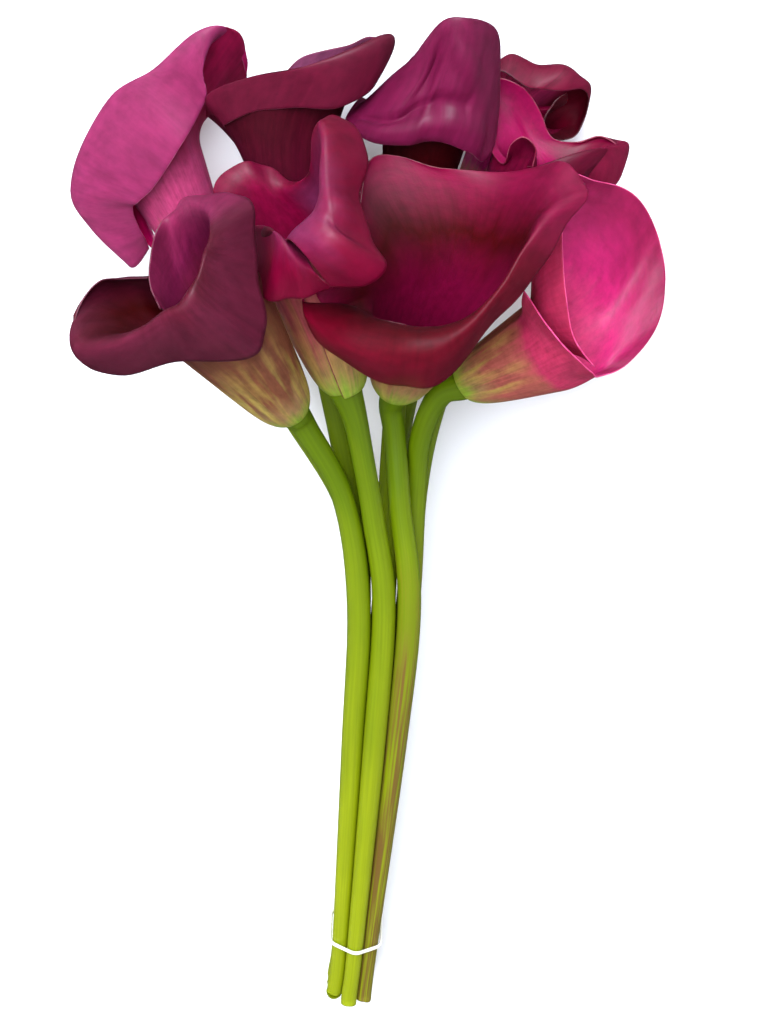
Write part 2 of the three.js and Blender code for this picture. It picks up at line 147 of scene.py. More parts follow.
# Blooms, in millimetres and degrees. Each has the base and aim of its tube, the tube's length,
# its flare, and where its mouth slants; its stem's seat in the bundle and bends; and its flesh:
#   flesh: seven colours, one for each of FLESH_PARTS, partly painted shade, sheen and glow
#   wall: where the far wall begins and ends, as shares of the way from inner to outer margin
#   glow: how much light glows through, most in the paler ones
#   streaked, bruised: how strongly the tube is streaked and the old stem is browned
#   calm: how much less a tightly rolled lip ripples
#   creases: share across and place up the sheet of both ends, width and depth
#   folds: lines up the lip from the inner margin round to the outer one: angle, then the crest
#   and the rim as distances along the bloom, to its right and above its base
BLOOMS = [
    {
        "name": "front",
        "base": (5, 50, 62),
        "aim": (20, 106, 112),
        "tube": 48,
        "flare": 13,
        "slant": 0.22,
        "slant_to": 50,
        "seat": (1, 1),
        "bends": [(6, 4, 56), (4, 30, 53)],
        "slot": "crimson_spathe",
        "flesh": ("#68042b", "#3f0205", "#6f022d", "#3e0207", "#590217", "#6f0e25", "#890737"),
        "wall": (-0.1, 0.72),
        "glow": 0.2,
        "streaked": 0.4,
        "bruised": 0.9,
        "folds": [
            (45, 34, 14, 48, 34, 13, 49),
            (0, 28, 1, 50, 30, -1, 49),
            (-25, 27, -7, 46, 29, -9, 47),
            (-50, 28, -15, 42, 28, -18, 45),
            (-72, 28, -21, 38, 26, -24, 45),
            (-92, 30, -25, 38, 28, -31, 46),
            (-110, 34, -26, 38, 33, -37, 47),
            (-128, 43, -23, 28, 42, -28, 44),
            (-145, 54, -22, 19, 58, -30, 24),
            (-162, 61, -19, 17, 76, -30, 16),
            (-180, 65, -8, 16, 80, -22, 12),
            (-198, 68, 4, 18, 80, -7, 14),
            (-215, 69, 14, 24, 84, 12, 17),
            (-228, 72, 20, 32, 90, 26, 24),
            (-240, 73, 24, 42, 93, 32, 36),
            (-252, 72, 26, 50, 89, 38, 44),
            (-266, 69, 25, 58, 84, 40, 52),
            (-285, 65, 24, 66, 73, 34, 60),
            (-300, 59, 21, 72, 62, 30, 66),
            (-315, 52, 18, 77, 51, 26, 70),
            (-330, 45, 14, 80, 41, 20, 72),
            (-345, 39, 9, 82, 29, 14, 73),
            (-360, 34, 2, 82, 16, 6, 74),
            (-375, 31, -6, 80, 13, -3, 73),
            (-390, 29, -13, 76, 13, -13, 70),
            (-402, 28, -20, 70, 16, -24, 66),
            (-412, 29, -25, 63, 19, -33, 60),
            (-418, 29, -29, 57, 25, -39, 57),
            (-422, 30, -31, 51, 30, -41, 52),
        ],
    },
    {
        "name": "low_left",
        "base": (-33, 45, 79),
        "aim": (-63, 99, 124),
        "tube": 50,
        "flare": 9.5,
        "seat": (-1, 1),
        "bends": [(-15, 7, 61)],
        "slot": "dark_spathe",
        "flesh": ("#571322", "#5c1032", "#7a1f44", "#3c0202", "#541429", "#703f29", "#430b15"),
        "wall": (-0.1, 0.4),
        "glow": 0.1,
        "streaked": 0.8,
        "folds": [
            (-95, 50, -16, 30, 55, -16, 33),
            (-115, 55, -15, 28, 62, -15, 33),
            (-135, 59, -12, 25, 70, -11, 32),
            (-155, 64, -6, 21, 77, -5, 30),
            (-175, 72, 2, 26, 80, 1, 22),
            (-200, 74, 10, 36, 81, 9, 20),
            (-228, 71, 15, 48, 77, 21, 26),
            (-255, 68, 16, 60, 70, 28, 40),
            (-275, 65, 15, 68, 61, 26, 50),
            (-300, 63, 13, 75, 49, 20, 58),
            (-322, 60, 9, 81, 36, 16, 63),
            (-342, 58, 5, 85, 31, 11, 68),
            (-360, 56, 0, 86, 33, 2, 70),
            (-378, 56, -5, 84, 39, -9, 71),
            (-394, 55, -13, 80, 42, -19, 70),
            (-410, 56, -22, 75, 46, -31, 68),
            (-424, 59, -30, 68, 52, -40, 65),
            (-436, 62, -31, 58, 61, -39, 62),
            (-447, 63, -28, 46, 69, -33, 57),
            (-456, 62, -25, 37, 73, -25, 50),
            (-463, 61, -21, 28, 70, -20, 40),
            (-468, 58, -18, 20, 65, -14, 27),
            (-474, 57, -13, 13, 61, -9, 16),
        ],
    },
    {
        "name": "middle",
        "base": (-14, 52, 74),
        "aim": (-33, 115, 90),
        "tube": 50,
        "flare": 8.5,
        "seat": (0, 1),
        "bends": [(-4, 0, 61), (-8, 26, 67)],
        "slot": "crimson_spathe",
        "flesh": ("#76032e", "#7b0632", "#660328", "#71264c", "#680224", "#9f454a", "#501622"),
        "wall": (0.23, 0.6),
        "glow": 0.2,
        "streaked": 0.4,
        "creases": [
            (0.965, 1.7, 0.965, 1.95, 4, 1.5),
            (0.93, 1.75, 0.93, 1.98, 3, -2),
            (0.9, 1.75, 0.9, 1.98, 3, 1.5),
        ],
        "folds": [
            (20, 53, 5, 50, 41, 10, 55),
            (-10, 59, 0, 51, 41, 0, 53),
            (-45, 63, -4, 46, 43, -11, 49),
            (-70, 64, -8, 33, 50, -13, 40),
            (-95, 64, -14, 20, 67, -16, 18),
            (-115, 69, -15, 12, 78, -22, 12),
            (-135, 72, -12, 6, 84, -18, 6),
            (-160, 72, -7, 3, 85, -9, 2),
            (-188, 69, -1, 1, 81, -2, -2),
            (-212, 68, 5, 3, 74, 4, 1),
            (-235, 71, 12, 9, 76, 14, 14),
            (-252, 79, 16, 22, 90, 22, 26),
            (-268, 85, 19, 36, 89, 28, 24),
            (-285, 82, 19, 44, 83, 32, 26),
            (-300, 76, 17, 50, 75, 32, 32),
            (-318, 70, 15, 56, 66, 26, 44),
            (-333, 66, 12, 60, 54, 27, 56),
            (-345, 64, 9, 62, 44, 29, 62),
            (-355, 62, 5, 62, 40, 21, 64),
            (-365, 60, 2, 60, 43, 10, 62),
        ],
    },
    {
        "name": "far_left",
        "base": (-66, 93, 34),
        "aim": (-82, 128, 34),
        "tube": 40,
        "flare": 9,
        "seat": (-1, 0),
        "bends": [(-15, 2, 46), (-37, 38, 38)],
        "slot": "pink_spathe",
        "flesh": ("#62062f", "#a11454", "#a1024a", "#7f2750", "#81254f", "#9e345e", "#7d0b35"),
        "wall": (-0.1, 0.46),
        "glow": 0.35,
        "folds": [
            (285, 23, -14, 2, 15, -18, 0),
            (268, 33, -14, -2, 31, -19, -4),
            (250, 44, -12, 0, 50, -13, 0),
            (210, 51, -1, -14, 58, 2, -22),
            (180, 50, 9, -20, 57, 16, -26),
            (150, 48, 19, -18, 52, 29, -20),
            (125, 49, 26, -12, 53, 39, -12),
            (100, 53, 32, -4, 58, 43, 0),
            (82, 60, 37, 6, 68, 43, 10),
            (65, 68, 37, 15, 67, 34, 18),
            (45, 71, 29, 20, 62, 31, 24),
            (20, 67, 13, 24, 52, 27, 21),
            (-10, 66, -2, 24, 41, 12, 27),
            (-40, 56, -19, 20, 32, -4, 25),
            (-75, 45, -30, 12, 30, -13, 20),
            (-110, 34, -30, 4, 23, -16, 12),
            (-140, 21, -24, -2, 13, -17, 4),
        ],
    },
    {
        "name": "upper_left",
        "base": (-29, 93, 42),
        "aim": (-35, 141, 46),
        "tube": 36,
        "flare": 9,
        "seat": (-1, -1),
        "bends": [(-13, 4, 36)],
        "slot": "crimson_spathe",
        "flesh": ("#2d020e", "#7c3b5d", "#7e3f5e", "#550d24", "#560c24", "#440218", "#3d0614"),
        "wall": (-0.1, 0.45),
        "glow": 0.15,
        "calm": 0.6,
        "folds": [
            (240, 53, -9, -4, 58, -11, -2),
            (200, 56, -4, -12, 65, -3, -12),
            (160, 58, 5, -14, 73, 9, -10),
            (125, 59, 18, -12, 75, 26, -4),
            (90, 63, 27, -4, 76, 37, 4),
            (65, 68, 31, 6, 69, 39, 10),
            (40, 73, 33, 18, 60, 33, 20),
            (12, 70, 22, 28, 54, 21, 28),
            (-15, 66, 8, 31, 56, 5, 28),
            (-45, 65, -8, 26, 56, -10, 23),
            (-75, 62, -23, 15, 53, -21, 13),
            (-105, 55, -26, 2, 52, -19, 2),
        ],
    },
    {
        "name": "top",
        "base": (10, 107, 42),
        "aim": (16, 145, 50),
        "tube": 44,
        "flare": 9,
        "seat": (0, 0),
        "bends": [(2, 7, 45)],
        "slot": "dark_spathe",
        "flesh": ("#470625", "#63183f", "#63183f", "#5f1133", "#620f34", "#320206", "#5a1132"),
        "wall": (-0.1, 0.38),
        "glow": 0.15,
        "creases": [
            (0.68, 1.8, 0.61, 1.9, 6, -6),
            (0.76, 1.945, 0.53, 1.925, 0.8, -3.5),
            (0.75, 1.975, 0.47, 1.965, 1.2, 3),
            (0.55, 1.78, 0.56, 1.88, 7, 3),
        ],
        "folds": [
            (240, 44, -13, 1, 44, -11, -8),
            (200, 45, -5, -5, 49, -1, -14),
            (160, 45, 5, -5, 53, 7, -16),
            (125, 44, 14, 0, 52, 17, -13),
            (90, 44, 20, 8, 55, 23, 2),
            (62, 63, 19, 18, 29, 23, 20),
            (34, 71, 16, 26, 30, 14, 30),
            (6, 72, 6, 37, 32, 4, 32),
            (-22, 70, -2, 37, 29, -7, 32),
            (-50, 58, -9, 29, 28, -19, 28),
            (-84, 48, -17, 11, 33, -29, 16),
            (-120, 42, -16, -4, 42, -25, 1),
            (-148, 38, -19, -8, 31, -27, -6),
            (-172, 31, -22, -12, 19, -21, -14),
        ],
    },
    {
        "name": "right",
        "base": (30, 53, 68),
        "aim": (65, 73, 84),
        "tube": 36,
        "flare": 12,
        "slant": 0.1,
        "slant_to": 180,
        "seat": (1, 0),
        "bends": [(12, 7, 46), (14, 30, 53)],
        "slot": "pink_spathe",
        "flesh": ("#c73f6f", "#b81a63", "#881343", "#bc2b6a", "#bc2b6a", "#964b41", "#9e2648"),
        "wall": (-0.1, 0.7),
        "glow": 0.35,
        "streaked": 0.7,
        "bruised": 0.8,
        "folds": [
            (5, 34, 3, 24, 42, 12, 27),
            (-25, 33, -5, 28, 40, -1, 33),
            (-55, 34, -15, 28, 44, -15, 36),
            (-85, 38, -25, 22, 53, -33, 28),
            (-110, 47, -32, 14, 64, -47, 20),
            (-135, 58, -25, 3, 73, -41, 4),
            (-160, 64, -13, -5, 84, -27, -7),
            (-185, 63, -1, -7, 85, -10, -13),
            (-210, 59, 8, 0, 79, 5, -6),
            (-235, 52, 15, 6, 68, 16, 2),
            (-260, 45, 18, 10, 53, 21, 8),
            (-290, 37, 17, 16, 42, 18, 18),
            (-320, 31, 11, 24, 40, 13, 28),
            (-350, 30, 3, 30, 37, 3, 36),
            (-385, 30, -9, 30, 34, -11, 38),
            (-415, 30, -18, 28, 33, -24, 36),
        ],
    },
    {
        "name": "upper_right",
        "base": (34, 109, 20),
        "aim": (51, 142, 22),
        "tube": 36,
        "flare": 7.5,
        "seat": (0, -1),
        "bends": [(3, 7, 33), (14, 60, 24)],
        "slot": "crimson_spathe",
        "flesh": ("#250008", "#d23874", "#a01a43", "#500215", "#3a020d", "#820747", "#620325"),
        "wall": (-0.1, 0.31),
        "glow": 0.2,
        "calm": 0.25,
        "folds": [
            (300, 50, -17, 8, 50, -19, 14),
            (270, 56, -15, 4, 51, -14, 16),
            (240, 57, -7, 2, 50, -6, 16),
            (210, 61, 1, 0, 52, 0, 15),
            (188, 60, 7, -2, 55, 7, 13),
            (165, 58, 12, -5, 59, 14, 8),
            (140, 53, 15, -8, 56, 19, 0),
            (110, 46, 17, -6, 45, 21, -2),
            (80, 41, 13, 0, 40, 17, 2),
            (50, 40, 9, 4, 38, 11, 8),
            (20, 41, 5, 6, 40, 8, 11),
            (-10, 41, 2, 6, 43, 6, 13),
            (-40, 43, 1, 6, 48, 6, 13),
            (-70, 44, 0, 5, 52, 7, 12),
            (-95, 45, 0, 3, 55, 9, 9),
        ],
    },
    {
        "name": "inner_right",
        "base": (40, 95, 44),
        "aim": (54, 129, 59),
        "tube": 34,
        "flare": 11,
        "seat": (1, -1),
        "bends": [(13, 7, 37), (20, 40, 37)],
        "slot": "pink_spathe",
        "flesh": ("#7c0239", "#98044b", "#80033c", "#660629", "#6c052a", "#620e32", "#560220"),
        "wall": (-0.1, 0.6),
        "glow": 0.3,
        "bruised": 0.7,
        "calm": 0.3,
        "folds": [
            (20, 32, -1, 26, 36, -3, 34),
            (0, 37, -2, 30, 42, -5, 37),
            (-25, 37, -7, 30, 44, -10, 37),
            (-45, 35, -10, 28, 40, -13, 35),
            (-65, 34, -12, 22, 33, -12, 26),
            (-85, 36, -15, 14, 37, -18, 13),
            (-110, 42, -17, 4, 50, -23, 2),
            (-135, 47, -17, -1, 59, -24, -2),
            (-160, 48, -12, -3, 60, -14, -3),
            (-185, 45, -5, -4, 55, -5, -4),
            (-215, 42, 3, -2, 48, 3, -3),
            (-245, 42, 12, 2, 50, 12, -1),
            (-270, 46, 18, 4, 55, 19, 1),
            (-295, 50, 23, 10, 53, 27, 6),
            (-320, 50, 21, 17, 47, 30, 9),
            (-345, 48, 15, 23, 40, 28, 13),
            (-372, 44, 8, 26, 37, 19, 20),
            (-395, 39, 3, 28, 34, 10, 26),
        ],
    },
]
# Throat colours are partly painted shade deep in the mouth, roll colours partly a painted sheen on the
# crest of the rolled lip, and the pinker blooms' colours partly painted glow of light through the sheet
FLESH_PARTS = ("throat", "wall", "brow", "roll", "rim", "tube", "back")

# Nominal arc of one turn of an open lip, and nominal length of the tube and of the lip
LIP_ARC = 190.0
PLACE_LENGTH = 50.0
# Lips shorter than this ripple less
FULL_RIPPLE_LENGTH = 45.0
# Waves of the lip: how many go round it, how they move up it, and their share of the depth
LIP_WAVES = [(2, 3, 0.5), (3, -4, 0.4), (5, 5, 0.35), (8, -6, 0.22)]
# Shift of each wave from the one before it, and from bloom to bloom
WAVE_STEP = 2.1
BLOOM_STEP = 1.7
# Waves of the rim: how many go round it, their share of the depth, and their shift by bloom
RIM_WAVES = [(7, 1.0, 0.9), (12, 0.6, -1.3)]
# Places up the sheet where the waves of the lip and of the rim begin
LIP_WAVES_FROM = 0.7
RIM_WAVES_FROM = 1.7
# Creases fade towards their ends, but not over this last share of their length
CREASE_END = 0.08
# Each bloom and stem shows its own stretch of the flesh and skin patterns
FLESH_STEP = 37.0
SKIN_STEP = 29.0


def linear(hex_colour):
    """Linear RGB of an sRGB hex colour."""
    parts = [int(hex_colour[k : k + 2], 16) / 255 for k in (1, 3, 5)]
    return tuple(c / 12.92 if c <= 0.04045 else ((c + 0.055) / 1.055) ** 2.4 for c in parts)


def colour(name, hex_colour, description):
    """Colour setting with a default given in sRGB hex."""
    return FloatVectorProperty(
        name=name,
        description=description,
        default=linear(hex_colour),
        subtype="COLOR",
        min=0,
        max=1,
    )


# Shapes


def smooth(values, u):
    """Values on a smooth curve through evenly spaced values, at u from 0 to 1."""
    values = np.asarray(values, float)
    before = 2 * values[0] - values[1]
    after = 2 * values[-1] - values[-2]
    padded = np.concatenate([[before], values, [after]])
    last = len(values) - 1
    x = np.clip(u, 0, 1) * last
    i = np.minimum(np.floor(x).astype(int), last - 1)
    t = x - i
    a, b, c, d = padded[i], padded[i + 1], padded[i + 2], padded[i + 3]
    bend = (2 * a - 5 * b + 4 * c - d) * t**2
    twist = (3 * b - a - 3 * c + d) * t**3
    return 0.5 * (2 * b + (c - a) * t + bend + twist)


def unit(vectors):
    """Vectors of length one in the same directions."""
    return vectors / np.linalg.norm(vectors, axis=-1, keepdims=True)


def axes_of(bloom):
    """Base point, direction, the side facing up and the side to the right of a bloom."""
    base = np.array(bloom["base"], float)
    along = unit(np.array(bloom["aim"], float) - base)
    up = np.array([0.0, 0.0, 1.0])
    front = unit(up - along * along[2])
    return base, along, front, np.cross(along, front)


def tube_lines(bloom, angle, turns, places):
    """Points of a spathe's tube: one line up it for each angle, at places from 0 to 1."""
    base, along, front, right = axes_of(bloom)
    slant = bloom.get("slant", 0) * np.cos(np.radians(angle - bloom.get("slant_to", 0)))
    length = bloom["tube"] * (1 + slant)
    step = length / TUBE_STEPS

    def slope(place):
        neck = (NECK_TURN - bloom["flare"]) * np.exp(-place * length / NECK_FADE)
        return np.radians(bloom["flare"] + neck)

    radius, height = np.full_like(angle, NECK_RADIUS), np.zeros_like(angle)
    track = [(radius, height, slope(0.0))]
    for k in range(TUBE_STEPS):
        tilt = slope((k + 0.5) / TUBE_STEPS)
        radius = radius + step * np.sin(tilt)
        height = height + step * np.cos(tilt)
        track.append((radius, height, slope((k + 1) / TUBE_STEPS)))
    track = np.array(track)
    places = np.asarray(places)
    i = np.minimum(np.floor(places * TUBE_STEPS).astype(int), TUBE_STEPS - 1)
    f = (places * TUBE_STEPS - i)[:, None, None]
    radius, height, tilt = np.moveaxis(track[i] * (1 - f) + track[i + 1] * f, 1, 0)
    out = (OVERLAP_GAP + OVERLAP_SPREAD * places[:, None] / 2) * (turns - 0.5)
    radius = radius + out * np.cos(tilt)
    height = height - out * np.sin(tilt)
    around = np.radians(angle)[:, None]
    spoke = np.cos(around) * front + np.sin(around) * right
    points = base + height[..., None] * along + radius[..., None] * spoke
    return np.moveaxis(points, 0, 1)


def spathe_points(bloom, places):
    """Middle surface of a spathe, its turns from the inner margin, and its angles."""
    table = np.array(bloom["folds"], float)
    across = np.linspace(0, 1, COLUMNS + 1)
    angle, *columns = [smooth(values, across) for values in table.T]
    turns = np.abs(angle - table[0, 0]) / 360
    base, along, _, _ = axes_of(bloom)
    ahead = unit(np.array([along[0], along[1], 0.0]))
    aside = np.array([ahead[1], -ahead[0], 0.0])
    compass = np.stack([ahead, aside, np.array([0.0, 0.0, 1.0])])
    crest = base + np.stack(columns[:3], -1) @ compass
    rim = base + np.stack(columns[3:], -1) @ compass

    # Each line of the lip leaves the tube straight ahead, passes its crest and ends at its rim
    tube = tube_lines(bloom, angle, turns, np.minimum(places, 1.0))
    before, tip = np.moveaxis(tube_lines(bloom, angle, turns, [NEAR_TIP, 1.0]), 1, 0)
    heading = unit(tip - before)
    reach = np.sum((crest - tip) * heading, axis=1, keepdims=True)
    first = tip + heading * np.maximum(SHORTEST_RISE, FOLD_RISE * reach)
    second = (8 * crest - tip - rim - 3 * first) / 3
    q = np.clip(places - 1, 0, 1)[None, :, None]
    lip = (1 - q) ** 3 * tip[:, None] + 3 * q * (1 - q) ** 2 * first[:, None]
    lip = lip + 3 * q**2 * (1 - q) * second[:, None] + q**3 * rim[:, None]
    return np.where((places >= 1)[None, :, None], lip, tube), turns, angle


def ripples(angle, places, points, number, depth, rim_depth):
    """Gentle unevenness of a spathe, deeper towards its rim, alike where it overlaps itself."""
    reach = np.linalg.norm(np.diff(points[:, places >= 1], axis=1), axis=-1).sum(1)
    calm = np.clip(reach / FULL_RIPPLE_LENGTH, 0, 1)[:, None] ** 2
    a = np.radians(angle)[:, None]
    v = np.asarray(places)[None, :]
    lip = np.zeros((len(angle), v.shape[1]))
    for k, (waves, rise, share) in enumerate(LIP_WAVES):
        lip += share * np.sin(waves * a + rise * v + BLOOM_STEP * number + WAVE_STEP * k)
    rim = sum(share * np.sin(waves * a + shift * number) for waves, share, shift in RIM_WAVES)
    lip_growth = np.clip(v - LIP_WAVES_FROM, 0, 1)
    rim_growth = np.clip((v - RIM_WAVES_FROM) / (2 - RIM_WAVES_FROM), 0, 1) ** 2
    return (depth * lip * lip_growth + rim_depth * rim * rim_growth) * calm


def crease_depth(turns, places, creases):
    """Hollows and ridges along lines on the sheet, each given by its two ends, width and depth."""
    share = (turns / turns[-1])[:, None] * LIP_ARC
    run = np.asarray(places)[None, :] * PLACE_LENGTH
    total = np.zeros((len(turns), len(places)))
    for u0, v0, u1, v1, width, depth in creases:
        start = np.array([u0 * LIP_ARC, v0 * PLACE_LENGTH])
        line = np.array([u1 * LIP_ARC, v1 * PLACE_LENGTH]) - start
        t = ((share - start[0]) * line[0] + (run - start[1]) * line[1]) / (line @ line)
        t = np.clip(t, 0, 1)
        gap = np.hypot(share - start[0] - t * line[0], run - start[1] - t * line[1])
        fade = np.sin(math.pi * np.clip(t, CREASE_END, 1 - CREASE_END)) ** 0.5
        total += depth * np.exp(-((gap / width) ** 2)) * fade
    return total


def mesh_object(name, points, faces, finishes, finish_of, lie, where=None):
    """Mesh object from millimetre points in the part's frame, with where each point lies on it."""
    placed = np.asarray(points) - MIDDLE
    placed[:, 2] = np.maximum(placed[:, 2], 0)
    mesh = bpy.data.meshes.new(name)
    mesh.from_pydata((placed * MM).tolist(), [], faces)
    for material in finishes:
        mesh.materials.append(material)
    mesh.polygons.foreach_set("material_index", finish_of)
    mesh.polygons.foreach_set("use_smooth", [True] * len(faces))
    for label, values in (("lie", lie), ("where", where)):
        if values is not None:
            attribute = mesh.attributes.new(label, "FLOAT_VECTOR", "POINT")
            attribute.data.foreach_set("vector", np.asarray(values, np.float32).ravel())
    mesh.validate()
    mesh.update()
    piece = bpy.data.objects.new(name, mesh)
    bpy.context.scene.collection.objects.link(piece)
    return piece


def sheet_object(name, points, thickness, lie, where, finishes):
    """Closed sheet round a grid of points with a rounded edge: inner face, outer face, rim."""
    across = np.gradient(points, axis=0)
    upward = np.gradient(points, axis=1)
    normal = unit(np.cross(across, upward))
    half = thickness[None, :, None] / 2
    count_i, count_j = points.shape[:2]
    index = np.arange(count_i * count_j).reshape(count_i, count_j)
    inner = points + normal * half
    outer = points - normal * half
    quads = np.stack([index[:-1, :-1], index[1:, :-1], index[1:, 1:], index[:-1, 1:]], -1)
    quads = quads.reshape(-1, 4)

    away = np.zeros_like(points)
    away[0] -= unit(across[0])
    away[-1] += unit(across[-1])
    away[:, 0] -= unit(upward[:, 0])
    away[:, -1] += unit(upward[:, -1])
    edge = [(i, 0) for i in range(count_i)]
    edge += [(count_i - 1, j) for j in range(1, count_j)]
    edge += [(i, count_j - 1) for i in range(count_i - 2, -1, -1)]
    edge += [(0, j) for j in range(count_j - 2, 0, -1)]
    ei, ej = np.array(edge).T
    brim = points[ei, ej] + unit(away[ei, ej]) * thickness[ej, None] * RIM_ROUNDING

    total = count_i * count_j
    near = index[ei, ej]
    mid = 2 * total + np.arange(len(edge))
    far = near + total
    strip = [
        np.stack([np.roll(near, -1), near, mid, np.roll(mid, -1)], -1),
        np.stack([np.roll(mid, -1), mid, far, np.roll(far, -1)], -1),
    ]
    faces = np.concatenate([quads, quads[:, ::-1] + total, *strip])
    finish_of = [0] * len(quads) + [1] * len(quads) + [2] * (2 * len(edge))

    def on_every_point(inside, outside, margin):
        return np.concatenate([inside.reshape(-1, 3), outside.reshape(-1, 3), margin])

    every = on_every_point(inner, outer, brim)
    lie = on_every_point(lie, lie, lie[ei, ej])
    where = on_every_point(where, where, where[ei, ej])
    return mesh_object(name, every, faces.tolist(), finishes, finish_of, lie, where)


def tube_object(name, rings, lie, finishes, cut_spans=0, joined=False):
    """Closed body through rings of equal point count; the first cut_spans spans are a cut face."""
    count, sides = rings.shape[:2]
    index = np.arange(count * sides).reshape(count, sides)
    here, ahead = (index, np.roll(index, -1, 0)) if joined else (index[:-1], index[1:])
    other, other_ahead = np.roll(here, -1, 1), np.roll(ahead, -1, 1)
    quads = np.stack([here, other, other_ahead, ahead], -1).reshape(-1, 4)
    faces = quads.tolist()
    finish_of = [1 if k < cut_spans * sides else 0 for k in range(len(faces))]
    if not joined:
        faces += [index[0][::-1].tolist(), index[-1].tolist()]
        finish_of += [1 if cut_spans else 0, 0]
    return mesh_object(name, rings.reshape(-1, 3), faces, finishes, finish_of, lie)


def rings_along(centres, headings, radii, sides):
    """Rings round the centres, square to the headings, turning as little as possible."""
    first = np.array([1.0, 0.0, 0.0])
    angle = np.arange(sides) / sides * 2 * np.pi
    rings = []
    for centre, heading, radius in zip(centres, headings, radii):
        first = unit(first - heading * (first @ heading))
        second = np.cross(heading, first)
        rings.append(
            centre
            + radius * np.cos(angle)[:, None] * first
            + radius * np.sin(angle)[:, None] * second
        )
    return np.array(rings)


def stem_stops(bloom, cut_back):
    """Centres and radii that a stem's curve goes through, from its cut end to its bloom."""
    base, along, _, _ = axes_of(bloom)
    column, row = bloom["seat"]
    stops = []
    for (x, y, z, pitch), nested in zip(BUNDLE, NESTED):
        across = column * pitch * (1 - nested * (1 - NEST_WIDTH))
        rise = row * pitch + (nested * NEST_RISE * pitch if column == 0 else 0)
        stops.append((x + across, y, z + rise, (pitch - STEM_GAP) / 2))
    x, y, z, radius = stops[0]
    stops[0] = (x, y + cut_back, z, radius)
    stops += [(*bend, BEND_RADIUS) for bend in bloom["bends"]]
    stops += [(*(base - APPROACH * along), APPROACH_RADIUS)]
    stops += [(*(base - SHOULDER * along), TOP_RADIUS)]
    return np.array(stops, float).T


# Finishes


# How much the veins show on either side of a spathe
VEIN_CONTRAST = {"inside": 0.4, "outside": 1.0}


def node(tree, kind, inputs=(), stops=(), **settings):
    """Adds a node with its settings, ramp stops and inputs; an input is a value or an output."""
    made = tree.nodes.new("ShaderNode" + kind)
    for name, value in settings.items():
        setattr(made, name, value)
    for k, (place, hue) in enumerate(stops):
        elements = made.color_ramp.elements
        element = elements[k] if k < 2 else elements.new(place)
        element.position = place
        element.color = (*hue, 1.0)
    for name, value in dict(inputs).items():
        socket = made.inputs[name]
        if isinstance(value, bpy.types.NodeSocket):
            tree.links.new(value, socket)
        else:
            socket.default_value = value
    return made


def new_material(name):
    """Empty material with its node tree."""
    material = bpy.data.materials.new(name)
    material.use_nodes = True
    material.node_tree.nodes.clear()
    return material, material.node_tree


def shaded(tree, hue, depth):
    """Colour made darker or paler by a pattern round one."""
    grey = node(tree, "CombineXYZ", dict.fromkeys(range(3), depth.outputs[0]))
    inputs = {0: 1.0, 6: hue, 7: grey.outputs[0]}
    return node(tree, "Mix", inputs, data_type="RGBA", blend_type="MULTIPLY").outputs[2]


def two_tone(tree, pattern, stops, strength, height, **settings):
    """Colour and relief that follow one pattern, the relief by a height in millimetres."""
    tone = node(tree, "ValToRGB", {"Fac": pattern}, stops=stops)
    inputs = {"Height": pattern, "Strength": strength, "Distance": height * MM}
    relief = node(tree, "Bump", inputs, **settings)
    return tone.outputs["Color"], relief.outputs[0]


def finish_surface(tree, base, normal, constants):
    """Ends a material in one surface with the given colour, normal and fixed values."""
    surface = node(tree, "BsdfPrincipled", {"Base Color": base, "Normal": normal, **constants})
    node(tree, "OutputMaterial", {"Surface": surface.outputs["BSDF"]})


